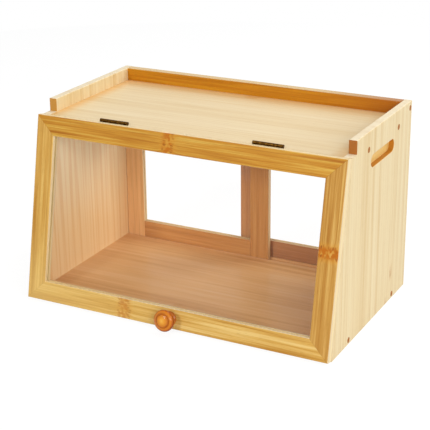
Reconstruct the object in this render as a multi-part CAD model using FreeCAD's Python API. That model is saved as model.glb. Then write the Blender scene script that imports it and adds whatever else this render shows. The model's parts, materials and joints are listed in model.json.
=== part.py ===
import FreeCAD, Part
import math
import os

from FreeCAD import Vector

# Bamboo bread box with a slanted, top-hung clear door and two clear sliding panels behind.
# Millimetres. +X is to the right, the front faces -Y and +Z is up. Everything is built with the
# rear face on y = 0 and the table on z = 0, and the last step moves the origin to the middle of
# the footprint, knob included.

# ---- Case ---------------------------------------------------------------------------------
CASE_WIDTH = 400.0            # over both side panels
CASE_HEIGHT = 240.0           # table to the top of the gallery rails
BASE_DEPTH = 237.0            # side panel, front to back, at the table
TRAY_DEPTH = 192.0            # side panel, front to back, at the tray
RAIL_HEIGHT = 16.0            # gallery rails above the tray surface
RAIL_SETBACK = 13.0           # side rail's front end behind the tray's front edge
SIDE_THICKNESS = 10.0
FLOOR_THICKNESS = 10.0
TRAY_THICKNESS = 10.0
BACK_RAIL_THICKNESS = 12.0
CASE_EDGE_ROUNDING = 1.2      # sanded edges of the panels and rails

# ---- Finger grips routed into the outside of both side panels ---------------------------------
GRIP_LENGTH = 75.0
GRIP_HEIGHT = 15.0
GRIP_DEPTH = 6.5
GRIP_BELOW_TRAY = 4.5         # from the height of the tray's underside down to the grip
GRIP_EDGE_ROUNDING = 1.2

# ---- Side screws under wooden plugs ---------------------------------------------------------
FRONT_SCREW_INSET = 50.0      # behind the front edge of the board that the screw holds
REAR_SCREW_INSET = 45.0       # ahead of the rear face
PLUG_RADIUS = 3.5
PLUG_DEPTH = 3.0
SIDE_SCREW_HEAD_RADIUS = 3.2
SIDE_SCREW_HEAD_HEIGHT = 2.2
SIDE_SCREW_SHANK_RADIUS = 1.75
SIDE_SCREW_LENGTH = 30.0

# ---- Door -----------------------------------------------------------------------------------
DOOR_THICKNESS = 12.0
DOOR_MEMBER_WIDTH = 24.0      # the four mitred members
DOOR_SEAT_GAP = 0.3           # closed door to the sloping front edges
DOOR_TABLE_GAP = 1.0          # along the slope, under the bottom rail
DOOR_PANE_THICKNESS = 3.0
DOOR_EDGE_ROUNDING = 1.2
PANE_GROOVE_DEPTH = 5.0
PANE_EDGE_PLAY = 0.5          # pane short of the bottom of its groove
PANE_FACE_PLAY = 0.1          # on each face of the pane

# ---- Knob, turned in one piece --------------------------------------------------------------
KNOB_RADIUS = 13.0
KNOB_FOOT_RADIUS = 9.0
KNOB_NECK_RADIUS = 6.2
KNOB_FOOT_HEIGHT = 2.2
KNOB_FOOT_CHAMFER = 0.8
KNOB_NECK_HEIGHT = 8.0        # cove between the foot and the head
KNOB_RIM_HEIGHT = 5.6         # rounded rim of the head
KNOB_CROWN_RISE = 3.6         # middle of the face above the rim
KNOB_RING_RADIUS = 8.0        # ring turned into the face
KNOB_RING_HALF_WIDTH = 1.0
KNOB_RING_DEPTH = 0.9
KNOB_RIM_TURN_IN = 1.6        # widest radius to the edge of the face
KNOB_SCREW_HEAD_RADIUS = 3.6
KNOB_SCREW_HEAD_HEIGHT = 2.6
KNOB_SCREW_SHANK_RADIUS = 1.75
KNOB_SCREW_BITE = 12.0        # length inside the knob

# ---- Butt hinges ----------------------------------------------------------------------------
HINGE_LENGTH = 38.0
HINGE_OFFSET = 100.0          # middle of each hinge from the middle of the box
KNUCKLE_COUNT = 5
KNUCKLE_GAP = 0.3
BARREL_RADIUS = 1.9
BARREL_LIFT = 0.3             # barrel clear of the edges below it
PIN_RADIUS = 0.9
PIN_RUNNING_PLAY = 0.05
LEAF_THICKNESS = 1.0
LEAF_WIDTH = 10.0             # from the pin's axis
LEAF_GAP = 0.3                # between the folded leaves
LEAF_FIT = 0.1                # round each leaf in its mortise
LEAF_SCREW_SPACING = 24.0
LEAF_SCREW_HEAD_RADIUS = 2.1
LEAF_SCREW_SHANK_RADIUS = 1.0
LEAF_SCREW_LENGTH = 8.0

# ---- Sliding panels and their tracks ----------------------------------------------------------
SLIDER_OVERLAP = 45.0         # width that both closed panels cover
SLIDER_THICKNESS = 8.0
SLIDER_STILE_WIDTH = 26.0
SLIDER_RAIL_HEIGHT = 25.0
SLIDER_PANE_THICKNESS = 2.0
SLIDER_EDGE_ROUNDING = 0.8
SLIDER_END_GAP = 0.5          # closed panel to the side panel
SLIDER_REST_GAP = 0.3         # under a panel in its track
SLIDER_TOP_ENGAGEMENT = 3.2   # panel inside the upper track
TENON_FIT = 0.1               # round each stub tenon
TRACK_PLAY = 0.5              # on each face of a panel
TRACK_LAND = 2.0              # wood between the two tracks
TRACK_REAR_LAND = 5.5         # wood behind the outer track
FLOOR_TRACK_DEPTH = 3.0
TRAY_TRACK_DEPTH = 6.5        # deep enough to lift a panel out of its lower track
FINGER_LENGTH = 60.0
FINGER_WIDTH = 12.0
FINGER_DEPTH = 3.0

# ---- Worked out from the sizes above ----------------------------------------------------------
HALF_WIDTH = CASE_WIDTH / 2
INNER_HALF_WIDTH = HALF_WIDTH - SIDE_THICKNESS
TRAY_TOP = CASE_HEIGHT - RAIL_HEIGHT
TRAY_UNDERSIDE = TRAY_TOP - TRAY_THICKNESS
SLOPE_LENGTH = math.hypot(BASE_DEPTH - TRAY_DEPTH, TRAY_TOP)
LEAN = math.degrees(math.atan2(BASE_DEPTH - TRAY_DEPTH, TRAY_TOP))
DOOR_HEIGHT = SLOPE_LENGTH - DOOR_TABLE_GAP
PIN_HEIGHT = BARREL_RADIUS + BARREL_LIFT          # pin above the top edge of the door
TRACK_WIDTH = SLIDER_THICKNESS + 2 * TRACK_PLAY
SLIDER_WIDTH = (2 * INNER_HALF_WIDTH - 2 * SLIDER_END_GAP + SLIDER_OVERLAP) / 2
SLIDER_TRAVEL = 2 * INNER_HALF_WIDTH - 2 * SLIDER_END_GAP - SLIDER_WIDTH
SLIDER_BOTTOM = FLOOR_THICKNESS - FLOOR_TRACK_DEPTH + SLIDER_REST_GAP
SLIDER_TOP = TRAY_UNDERSIDE + SLIDER_TOP_ENGAGEMENT

X_AXIS = Vector(1, 0, 0)
Y_AXIS = Vector(0, 1, 0)
Z_AXIS = Vector(0, 0, 1)
ORIGIN = Vector(0, 0, 0)


# ---- Helpers ------------------------------------------------------------------------------------
def block(x_range, y_range, z_range):
    """A box between two coordinates on each axis."""
    lows, highs = zip(x_range, y_range, z_range)
    size = [high - low for low, high in zip(lows, highs)]
    return Part.makeBox(*size, Vector(*lows))


def prism(outline, direction):
    """A flat closed outline pushed along a direction."""
    return Part.Face(Part.makePolygon(outline + outline[:1])).extrude(direction)


def board_across(outline_yz, half_width):
    """A board with the given side outline, centred on x = 0."""
    points = [Vector(-half_width, y, z) for y, z in outline_yz]
    return prism(points, X_AXIS * (2 * half_width))


def recess_cutter(half_length, radius, depth):
    """A round-ended recess along X, centred on the origin, cut from z = 0 down to -depth."""
    reach = half_length - radius
    ends = [Part.makeCylinder(radius, depth, Vector(x, 0, -depth)) for x in (-reach, reach)]
    middle = block((-reach, reach), (-radius, radius), (-depth, 0))
    return middle.fuse(ends).removeSplitter()


def straight_edges(shape, direction, wanted):
    """Straight edges parallel to a direction whose middle point is wanted."""
    found = []
    for edge in shape.Edges:
        if isinstance(edge.Curve, Part.Line) or isinstance(edge.Curve, Part.LineSegment):
            along = (edge.Vertexes[-1].Point - edge.Vertexes[0].Point).normalize()
            if abs(along.dot(direction)) > 0.9999 and wanted(edge.CenterOfMass):
                found.append(edge)
    return found


def near(value, target):
    return abs(value - target) < 0.01


def moved(shape, offset):
    """A copy in another place."""
    copy = shape.copy()
    copy.translate(offset)
    return copy


def turned(shape, axis, degrees, offset):
    """A copy turned about the origin and then moved."""
    copy = shape.copy()
    copy.rotate(ORIGIN, axis, degrees)
    return moved(copy, offset)


def mirrored(shape):
    """The same piece on the other side of the box."""
    return shape.mirror(ORIGIN, X_AXIS)


def on_slope(shape):
    """Lean a piece built on an upright door plane (y = 0, top edge on z = 0) onto the front."""
    return turned(shape, X_AXIS, -LEAN, Vector(0, -TRAY_DEPTH, TRAY_TOP))


def wood_screw(head_radius, head_height, shank_radius, length):
    """A countersunk screw, head flush with z = 0, pointing down, its thread a plain shank."""
    outline = [(0, 0), (head_radius, 0), (shank_radius, -head_height), (shank_radius, -length),
               (0, -length)]
    points = [Vector(radius, 0, height) for radius, height in outline]
    return Part.Face(Part.makePolygon(points + points[:1])).revolve(ORIGIN, Z_AXIS, 360)


# ---- Side screws and plugs -------------------------------------------------------------------------
def side_fixing_points():
    """Depth and height of the five screws in each side panel."""
    tray_height = TRAY_TOP - TRAY_THICKNESS / 2
    floor_height = FLOOR_THICKNESS / 2
    return [(-(TRAY_DEPTH - FRONT_SCREW_INSET), tray_height),
            (-REAR_SCREW_INSET, tray_height),
            (-BACK_RAIL_THICKNESS / 2, TRAY_TOP + RAIL_HEIGHT / 2),
            (-(BASE_DEPTH - FRONT_SCREW_INSET), floor_height),
            (-REAR_SCREW_INSET, floor_height)]


def right_side_screws():
    screw = wood_screw(SIDE_SCREW_HEAD_RADIUS, SIDE_SCREW_HEAD_HEIGHT, SIDE_SCREW_SHANK_RADIUS,
                       SIDE_SCREW_LENGTH)
    seat = HALF_WIDTH - PLUG_DEPTH
    return Part.makeCompound([turned(screw, Y_AXIS, 90, Vector(seat, y, z))
                              for y, z in side_fixing_points()])


def right_side_plugs():
    seat = HALF_WIDTH - PLUG_DEPTH
    return Part.makeCompound([Part.makeCylinder(PLUG_RADIUS, PLUG_DEPTH, Vector(seat, y, z), X_AXIS)
                              for y, z in side_fixing_points()])


# ---- Case ---------------------------------------------------------------------------------------------
def right_side_panel(screws, plugs):
    """Sloping side with its gallery rail in one board, the finger grip and the fixing holes."""
    rail_front = -(TRAY_DEPTH - RAIL_SETBACK)
    outline = [(0, 0), (-BASE_DEPTH, 0), (-TRAY_DEPTH, TRAY_TOP), (rail_front, TRAY_TOP),
               (rail_front, CASE_HEIGHT), (0, CASE_HEIGHT)]
    points = [Vector(INNER_HALF_WIDTH, y, z) for y, z in outline]
    panel = prism(points, X_AXIS * SIDE_THICKNESS)

    rail_tops = straight_edges(panel, Y_AXIS, lambda p: near(p.z, CASE_HEIGHT))
    rail_fronts = straight_edges(panel, Z_AXIS, lambda p: near(p.y, rail_front))
    rear_outer = straight_edges(panel, Z_AXIS, lambda p: near(p.y, 0) and near(p.x, HALF_WIDTH))
    slope = Vector(0, BASE_DEPTH - TRAY_DEPTH, TRAY_TOP).normalize()
    front_outer = straight_edges(panel, slope, lambda p: near(p.x, HALF_WIDTH))
    panel = panel.makeFillet(CASE_EDGE_ROUNDING, rail_tops + rail_fronts + rear_outer + front_outer)

    grip_height = TRAY_UNDERSIDE - GRIP_BELOW_TRAY - GRIP_HEIGHT / 2
    grip = recess_cutter(GRIP_LENGTH / 2, GRIP_HEIGHT / 2, GRIP_DEPTH)
    grip = turned(grip, Z_AXIS, 90, ORIGIN)
    grip = turned(grip, Y_AXIS, 90, Vector(HALF_WIDTH, -TRAY_DEPTH / 2, grip_height))
    panel = panel.cut(grip)
    grip_box = grip.BoundBox
    rim = [edge for edge in panel.Edges
           if grip_box.isInside(edge.CenterOfMass) and near(edge.BoundBox.XMin, HALF_WIDTH)]
    panel = panel.makeFillet(GRIP_EDGE_ROUNDING, rim)
    return panel.cut(plugs).cut(screws)


def track_cutters(z_range):
    """The outer and the inner track, right across between the side panels."""
    pitch = TRACK_WIDTH + TRACK_LAND
    cutters = []
    for index in range(2):
        rear = -(TRACK_REAR_LAND + index * pitch)
        cutters.append(block((-INNER_HALF_WIDTH, INNER_HALF_WIDTH), (rear - TRACK_WIDTH, rear),
                             z_range))
    return cutters


def slope_y(height):
    """Depth of the sloping front plane at a height."""
    return -BASE_DEPTH + (BASE_DEPTH - TRAY_DEPTH) * height / TRAY_TOP


def floor_board(screws):
    outline = [(0, 0), (slope_y(0), 0), (slope_y(FLOOR_THICKNESS), FLOOR_THICKNESS),
               (0, FLOOR_THICKNESS)]
    board = board_across(outline, INNER_HALF_WIDTH)
    tracks = track_cutters((FLOOR_THICKNESS - FLOOR_TRACK_DEPTH, FLOOR_THICKNESS))
    return board.cut(tracks + screws)


def top_board(screws, hinge_mortises):
    outline = [(0, TRAY_UNDERSIDE), (slope_y(TRAY_UNDERSIDE), TRAY_UNDERSIDE),
               (slope_y(TRAY_TOP), TRAY_TOP), (0, TRAY_TOP)]
    board = board_across(outline, INNER_HALF_WIDTH)
    tracks = track_cutters((TRAY_UNDERSIDE, TRAY_UNDERSIDE + TRAY_TRACK_DEPTH))
    return board.cut(tracks + hinge_mortises + screws)


def back_rail(screws):
    rail = block((-INNER_HALF_WIDTH, INNER_HALF_WIDTH), (-BACK_RAIL_THICKNESS, 0),
                 (TRAY_TOP, CASE_HEIGHT))
    top_edges = straight_edges(rail, X_AXIS, lambda p: near(p.z, CASE_HEIGHT))
    return rail.makeFillet(CASE_EDGE_ROUNDING, top_edges).cut(screws)


# ---- Door, built upright: its seat on the case is y = 0 and its top edge is on z = 0 --------------------
def door_members():
    """Two rails and two stiles mitred at the corners, grooved for the pane."""
    front = -(DOOR_SEAT_GAP + DOOR_THICKNESS)
    rear = -DOOR_SEAT_GAP
    width = DOOR_MEMBER_WIDTH
    outer = [(-HALF_WIDTH, 0), (HALF_WIDTH, 0), (HALF_WIDTH, -DOOR_HEIGHT),
             (-HALF_WIDTH, -DOOR_HEIGHT)]
    inner = [(-HALF_WIDTH + width, -width), (HALF_WIDTH - width, -width),
             (HALF_WIDTH - width, -DOOR_HEIGHT + width), (-HALF_WIDTH + width, -DOOR_HEIGHT + width)]
    pane_space = door_pane_block(PANE_GROOVE_DEPTH, DOOR_PANE_THICKNESS / 2 + PANE_FACE_PLAY)

    members = {}
    names = ["door_top_rail", "door_right_stile", "door_bottom_rail", "door_left_stile"]
    for index, name in enumerate(names):
        following = (index + 1) % len(outer)
        corners = [outer[index], outer[following], inner[following], inner[index]]
        points = [Vector(x, front, z) for x, z in corners]
        member = prism(points, Y_AXIS * DOOR_THICKNESS)
        along = X_AXIS if "rail" in name else Z_AXIS
        long_edges = straight_edges(member, along, lambda p: near(p.y, front) or near(p.y, rear))
        members[name] = member.makeFillet(DOOR_EDGE_ROUNDING, long_edges).cut(pane_space)
    return members


def door_pane_block(reach, half_thickness):
    """The door's window and its reach into the grooves, centred in the door's thickness."""
    middle = -(DOOR_SEAT_GAP + DOOR_THICKNESS / 2)
    half_window = HALF_WIDTH - DOOR_MEMBER_WIDTH
    return block((-half_window - reach, half_window + reach),
                 (middle - half_thickness, middle + half_thickness),
                 (-DOOR_HEIGHT + DOOR_MEMBER_WIDTH - reach, -DOOR_MEMBER_WIDTH + reach))


def door_knob():
    """Foot, cove, rounded rim and a crowned face with one turned ring; its seat is z = 0."""
    cove_top = KNOB_FOOT_HEIGHT + KNOB_NECK_HEIGHT
    rim_top = cove_top + KNOB_RIM_HEIGHT
    crown = rim_top + KNOB_CROWN_RISE
    face_radius = KNOB_RADIUS - KNOB_RIM_TURN_IN
    crown_radius = (face_radius ** 2 + KNOB_CROWN_RISE ** 2) / (2 * KNOB_CROWN_RISE)

    def at(radius, height):
        return Vector(radius, 0, height)

    def on_face(radius):
        return at(radius, crown - crown_radius + math.sqrt(crown_radius ** 2 - radius ** 2))

    def arc(start, through, end):
        return Part.Arc(start, through, end).toShape()

    def lines(points):
        return [Part.makeLine(start, end) for start, end in zip(points, points[1:])]

    shoulder = at(KNOB_FOOT_RADIUS - KNOB_FOOT_CHAMFER, KNOB_FOOT_HEIGHT)
    under_head = at(KNOB_FOOT_RADIUS, cove_top)
    ring_outer = KNOB_RING_RADIUS + KNOB_RING_HALF_WIDTH
    ring_inner = KNOB_RING_RADIUS - KNOB_RING_HALF_WIDTH
    ring_bottom = on_face(KNOB_RING_RADIUS) - Z_AXIS * KNOB_RING_DEPTH

    edges = lines([at(0, 0), at(KNOB_FOOT_RADIUS, 0),
                   at(KNOB_FOOT_RADIUS, KNOB_FOOT_HEIGHT - KNOB_FOOT_CHAMFER), shoulder])
    edges.append(arc(shoulder, at(KNOB_NECK_RADIUS, KNOB_FOOT_HEIGHT + KNOB_NECK_HEIGHT / 2),
                     under_head))
    edges.append(arc(under_head, at(KNOB_RADIUS, cove_top + KNOB_RIM_HEIGHT / 2),
                     on_face(face_radius)))
    edges.append(arc(on_face(face_radius), on_face((face_radius + ring_outer) / 2),
                     on_face(ring_outer)))
    edges += lines([on_face(ring_outer), ring_bottom, on_face(ring_inner)])
    edges.append(arc(on_face(ring_inner), on_face(ring_inner / 2), on_face(0)))
    edges += lines([on_face(0), at(0, 0)])
    return Part.Face(Part.Wire(edges)).revolve(ORIGIN, Z_AXIS, 360)


# ---- Hinges, built like the door: folded leaves on both sides of y = 0, pin above z = 0 ------------------
def knuckle_spans(start):
    """Spans along X of every second knuckle, from the given one on."""
    pitch = HINGE_LENGTH / KNUCKLE_COUNT
    spans = []
    for index in range(start, KNUCKLE_COUNT, 2):
        low = -HINGE_LENGTH / 2 + index * pitch
        high = low + pitch
        spans.append((low + (KNUCKLE_GAP / 2 if index else 0),
                      high - (KNUCKLE_GAP / 2 if index < KNUCKLE_COUNT - 1 else 0)))
    return spans


def rod(radius, x_range, height):
    low, high = x_range
    return Part.makeCylinder(radius, high - low, Vector(low, 0, height), X_AXIS)


def leaf_range(side):
    """Depth range of a leaf: side +1 lies on the top board and side -1 on the door."""
    faces = (side * LEAF_GAP / 2, side * (LEAF_GAP / 2 + LEAF_THICKNESS))
    return min(faces), max(faces)


def leaf_screws(side):
    """Two screws, heads flush with the leaf's free face, shanks in the wood."""
    screw = wood_screw(LEAF_SCREW_HEAD_RADIUS, LEAF_THICKNESS, LEAF_SCREW_SHANK_RADIUS,
                       LEAF_SCREW_LENGTH)
    height = PIN_HEIGHT / 2 - LEAF_WIDTH / 2
    offsets = (-LEAF_SCREW_SPACING / 2, LEAF_SCREW_SPACING / 2)
    return Part.makeCompound([turned(screw, X_AXIS, side * 90,
                                     Vector(x, side * LEAF_GAP / 2, height)) for x in offsets])


def hinge_leaf(side, own_start, bore_radius, screws):
    """One leaf with its own knuckles, cut back round the other leaf's knuckles."""
    leaf = block((-HINGE_LENGTH / 2, HINGE_LENGTH / 2), leaf_range(side),
                 (PIN_HEIGHT - LEAF_WIDTH, PIN_HEIGHT))
    pitch = HINGE_LENGTH / KNUCKLE_COUNT
    notch_radius = BARREL_RADIUS + BARREL_LIFT
    for index in range(1 - own_start, KNUCKLE_COUNT, 2):
        low = -HINGE_LENGTH / 2 + index * pitch - KNUCKLE_GAP / 2
        span = (low, low + pitch + KNUCKLE_GAP)
        leaf = leaf.cut(rod(notch_radius, span, PIN_HEIGHT))
    leaf = leaf.fuse([rod(BARREL_RADIUS, span, PIN_HEIGHT) for span in knuckle_spans(own_start)])
    bore = rod(bore_radius, (-HINGE_LENGTH / 2, HINGE_LENGTH / 2), PIN_HEIGHT)
    return leaf.cut(bore).removeSplitter().cut(screws)


def leaf_mortise(side):
    """Wood taken out for one leaf, open at the top edge."""
    low, high = leaf_range(side)
    half_length = HINGE_LENGTH / 2 + LEAF_FIT
    depth = (0, high) if side > 0 else (low, 0)
    return block((-half_length, half_length), depth, (PIN_HEIGHT - LEAF_WIDTH - LEAF_FIT, PIN_HEIGHT))


# ---- Sliding panels, built with the left edge on x = 0 and the front face on y = 0 -------------------------
def slider_pane_block(reach, half_thickness):
    middle = SLIDER_THICKNESS / 2
    return block((SLIDER_STILE_WIDTH - reach, SLIDER_WIDTH - SLIDER_STILE_WIDTH + reach),
                 (middle - half_thickness, middle + half_thickness),
                 (SLIDER_BOTTOM + SLIDER_RAIL_HEIGHT - reach, SLIDER_TOP - SLIDER_RAIL_HEIGHT + reach))


def stub_tenons(z_range, half_thickness, reach):
    """Tongues at both ends of a rail, as far as they reach into the stiles."""
    middle = SLIDER_THICKNESS / 2
    depth = (middle - half_thickness, middle + half_thickness)
    left = (SLIDER_STILE_WIDTH - reach, SLIDER_STILE_WIDTH)
    right = (SLIDER_WIDTH - SLIDER_STILE_WIDTH, SLIDER_WIDTH - SLIDER_STILE_WIDTH + reach)
    return [block(x_range, depth, z_range) for x_range in (left, right)]


def rounded_frame_member(x_range, z_range, along):
    member = block(x_range, (0, SLIDER_THICKNESS), z_range)
    long_edges = straight_edges(member, along, lambda p: True)
    return member.makeFillet(SLIDER_EDGE_ROUNDING, long_edges)


def slider_pieces(finger_at_left):
    """Frame of two stiles and two rails round a clear pane; the finger recess faces the rear."""
    full_height = (SLIDER_BOTTOM, SLIDER_TOP)
    rail_spans = {"bottom_rail": (SLIDER_BOTTOM, SLIDER_BOTTOM + SLIDER_RAIL_HEIGHT),
                  "top_rail": (SLIDER_TOP - SLIDER_RAIL_HEIGHT, SLIDER_TOP)}
    stile_spans = {"left_stile": (0, SLIDER_STILE_WIDTH),
                   "right_stile": (SLIDER_WIDTH - SLIDER_STILE_WIDTH, SLIDER_WIDTH)}
    half_pane = SLIDER_PANE_THICKNESS / 2
    groove = slider_pane_block(PANE_GROOVE_DEPTH, half_pane + PANE_FACE_PLAY)

    pieces = {}
    for name, x_range in stile_spans.items():
        stile = rounded_frame_member(x_range, full_height, Z_AXIS).cut(groove)
        for z_range in rail_spans.values():
            stile = stile.cut(stub_tenons(z_range, half_pane + PANE_FACE_PLAY, PANE_GROOVE_DEPTH))
        pieces[name] = stile
    between = (SLIDER_STILE_WIDTH, SLIDER_WIDTH - SLIDER_STILE_WIDTH)
    for name, z_range in rail_spans.items():
        tenons = stub_tenons(z_range, half_pane, PANE_GROOVE_DEPTH - TENON_FIT)
        rail = rounded_frame_member(between, z_range, X_AXIS).fuse(tenons)
        pieces[name] = rail.cut(groove)
    pieces["pane"] = slider_pane_block(PANE_GROOVE_DEPTH - PANE_EDGE_PLAY, half_pane)

    finger_stile = "left_stile" if finger_at_left else "right_stile"
    finger_x = sum(stile_spans[finger_stile]) / 2
    finger = recess_cutter(FINGER_LENGTH / 2, FINGER_WIDTH / 2, FINGER_DEPTH)
    finger = turned(finger, Y_AXIS, 90, ORIGIN)
    finger = turned(finger, Z_AXIS, 90, Vector(finger_x, SLIDER_THICKNESS, sum(full_height) / 2))
    pieces[finger_stile] = pieces[finger_stile].cut(finger)
    return pieces


# ---- Put together ---------------------------------------------------------------------------
def hinge_nodes():
    """Leaves, pins and screws of both hinges, still upright."""
    nodes = {}
    board_screws = leaf_screws(1)
    door_screws = leaf_screws(-1)
    board_leaf = hinge_leaf(1, 0, PIN_RADIUS, board_screws)
    door_leaf = hinge_leaf(-1, 1, PIN_RADIUS + PIN_RUNNING_PLAY, door_screws)
    pin = rod(PIN_RADIUS, (-HINGE_LENGTH / 2, HINGE_LENGTH / 2), PIN_HEIGHT)
    for name, x in (("left", -HINGE_OFFSET), ("right", HINGE_OFFSET)):
        for piece, shape in (("board_leaf", board_leaf), ("door_leaf", door_leaf), ("pin", pin),
                             ("board_screws", board_screws), ("door_screws", door_screws)):
            nodes["hinge_" + name + "_" + piece] = moved(shape, Vector(x, 0, 0))
    return nodes


def door_nodes(hinges):
    """The whole door, still upright."""
    nodes = door_members()
    nodes["door_pane"] = door_pane_block(PANE_GROOVE_DEPTH - PANE_EDGE_PLAY, DOOR_PANE_THICKNESS / 2)

    for name, x in (("left", -HINGE_OFFSET), ("right", HINGE_OFFSET)):
        mortise = moved(leaf_mortise(-1), Vector(x, 0, 0))
        cutters = [mortise, hinges["hinge_" + name + "_door_screws"]]
        nodes["door_top_rail"] = nodes["door_top_rail"].cut(cutters)

    knob_height = -DOOR_HEIGHT + DOOR_MEMBER_WIDTH / 2
    screw_length = DOOR_THICKNESS + KNOB_SCREW_BITE
    screw = wood_screw(KNOB_SCREW_HEAD_RADIUS, KNOB_SCREW_HEAD_HEIGHT, KNOB_SCREW_SHANK_RADIUS,
                       screw_length)
    screw = turned(screw, X_AXIS, -90, Vector(0, -DOOR_SEAT_GAP, knob_height))
    knob = turned(door_knob(), X_AXIS, 90,
                  Vector(0, -(DOOR_SEAT_GAP + DOOR_THICKNESS), knob_height))
    nodes["door_bottom_rail"] = nodes["door_bottom_rail"].cut(screw)
    nodes["door_knob"] = knob.cut(screw)
    nodes["knob_screw"] = screw
    return nodes


def all_nodes():
    nodes = {}
    hinges = hinge_nodes()
    for name, shape in list(door_nodes(hinges).items()) + list(hinges.items()):
        nodes[name] = on_slope(shape)

    right_screws = right_side_screws()
    right_plugs = right_side_plugs()
    screws = [right_screws, mirrored(right_screws)]
    right_panel = right_side_panel(right_screws, right_plugs)
    mortises = [on_slope(moved(leaf_mortise(1), Vector(x, 0, 0)))
                for x in (-HINGE_OFFSET, HINGE_OFFSET)]
    leaf_holes = [nodes["hinge_left_board_screws"], nodes["hinge_right_board_screws"]]
    nodes["side_panel_right"] = right_panel
    nodes["side_panel_left"] = mirrored(right_panel)
    nodes["side_screws_right"], nodes["side_screws_left"] = screws
    nodes["side_plugs_right"] = right_plugs
    nodes["side_plugs_left"] = mirrored(right_plugs)
    nodes["floor_board"] = floor_board(screws)
    nodes["top_board"] = top_board(screws + leaf_holes, mortises)
    nodes["back_rail"] = back_rail(screws)

    outer_front = -(TRACK_REAR_LAND + TRACK_WIDTH - TRACK_PLAY)
    inner_front = outer_front - TRACK_WIDTH - TRACK_LAND
    edge = INNER_HALF_WIDTH - SLIDER_END_GAP
    for panel, left_edge, front in (("inner_slider", -edge, inner_front),
                                    ("outer_slider", edge - SLIDER_WIDTH, outer_front)):
        for piece, shape in slider_pieces(panel == "inner_slider").items():
            shape.translate(Vector(left_edge, front, 0))
            nodes[panel + "_" + piece] = shape
    return nodes


def report_motion(shift):
    """Print the joint positions and limits that follow from the sizes."""
    lean = math.radians(LEAN)
    pin_y = -TRAY_DEPTH + PIN_HEIGHT * math.sin(lean) + shift
    pin_z = TRAY_TOP + PIN_HEIGHT * math.cos(lean)
    corner_y = -(TRAY_DEPTH - RAIL_SETBACK) + shift - pin_y
    corner_z = CASE_HEIGHT - pin_z
    reach = DOOR_SEAT_GAP + DOOR_THICKNESS
    corner_angle = math.degrees(math.atan2(corner_z, corner_y))
    stop = 180 - LEAN - corner_angle + math.degrees(math.acos(reach / math.hypot(corner_y, corner_z)))
    print("door pin at y %.4f z %.4f mm, rails stop it at %.2f degrees" % (pin_y, pin_z, stop))
    print("slider travel %.1f mm, lean %.3f degrees" % (SLIDER_TRAVEL, LEAN))


def main():
    os.makedirs("parts", exist_ok=True)
    nodes = all_nodes()
    knob_box = nodes["door_knob"].optimalBoundingBox(False, False)
    shift = -knob_box.YMin / 2
    for name, shape in sorted(nodes.items()):
        shape.translate(Vector(0, shift, 0))
        solids = shape.Solids
        if not shape.isValid() or not solids:
            raise RuntimeError(name + " is not a valid solid")
        body = solids[0] if len(solids) == 1 else Part.makeCompound(solids)
        body.exportStep("parts/" + name + ".step")
        print("%-28s %2d solid(s) %10.1f mm3" % (name, len(solids), body.Volume))
    print("overall depth %.3f mm, origin moved by %.3f mm" % (2 * shift, shift))
    report_motion(shift)


main()
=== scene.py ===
# %% [markdown]
# # A bamboo bread box with a slanted clear door
# The real thing is a countertop box glued up from laminated bamboo boards. A framed acrylic door leans
# back on the front and hangs from two small brass hinges, and two framed acrylic panels slide behind.
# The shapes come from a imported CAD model, which is loaded here and never changed. What is left to do in
# Blender is to light it plainly and to give every piece the surface that the real one has.

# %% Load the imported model
import json
import math

import bmesh
import bpy
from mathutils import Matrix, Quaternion, Vector


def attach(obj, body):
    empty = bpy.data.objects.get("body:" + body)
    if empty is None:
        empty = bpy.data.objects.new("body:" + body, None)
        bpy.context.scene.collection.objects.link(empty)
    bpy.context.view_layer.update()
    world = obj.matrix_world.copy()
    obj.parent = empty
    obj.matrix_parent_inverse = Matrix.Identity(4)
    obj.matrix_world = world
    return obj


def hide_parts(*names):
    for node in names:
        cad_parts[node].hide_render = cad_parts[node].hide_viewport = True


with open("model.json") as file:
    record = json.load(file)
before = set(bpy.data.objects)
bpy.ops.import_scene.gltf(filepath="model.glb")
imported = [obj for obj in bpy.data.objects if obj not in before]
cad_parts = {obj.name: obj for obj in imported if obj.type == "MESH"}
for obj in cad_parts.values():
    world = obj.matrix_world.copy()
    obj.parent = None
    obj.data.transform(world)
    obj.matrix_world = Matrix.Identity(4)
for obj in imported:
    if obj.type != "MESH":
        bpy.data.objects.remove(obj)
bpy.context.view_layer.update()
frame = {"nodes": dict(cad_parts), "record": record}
nodes = frame["nodes"]

# %% [markdown]
# ## Sizes that the finishes need
# A pattern that is tied to the object, such as a knuckle half way along a rail, needs to know where that
# rail is. Its corners could be typed in again, but then they would go wrong when the model changes, so
# they are measured here from the nodes. `span` gives how far a node reaches along any direction.

# %% Directions and measured sizes
MM = 0.001
RIGHT = Vector((1, 0, 0))
BACK = Vector((0, 1, 0))
UP = Vector((0, 0, 1))


def span(node, direction):
    """Lowest and highest reach of a node along a direction, in metres."""
    reach = [vertex.co.dot(direction) for vertex in nodes[node].data.vertices]
    return min(reach), max(reach)


def middle(node, direction):
    """Half way between a node's lowest and highest reach."""
    return sum(span(node, direction)) / 2


half_width = span("side_panel_right", RIGHT)[1]
inner_half_width = span("side_panel_right", RIGHT)[0]
rear = span("side_panel_right", BACK)[1]
tray_top = span("top_board", UP)[1]
base_depth = rear - span("side_panel_right", BACK)[0]
tray_depth = span("top_board", BACK)[1] - span("top_board", BACK)[0]
lean = math.atan2(base_depth - tray_depth, tray_top)
UP_SLOPE = Vector((0, math.sin(lean), math.cos(lean)))
OFF_SLOPE = Vector((0, -math.cos(lean), math.sin(lean)))
openings = {opening["name"]: opening["box_m"] for opening in frame["record"]["physics"]["openings"]}
print("door leans back %.1f degrees, rear face at y %.0f mm" % (math.degrees(lean), rear / MM))

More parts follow.
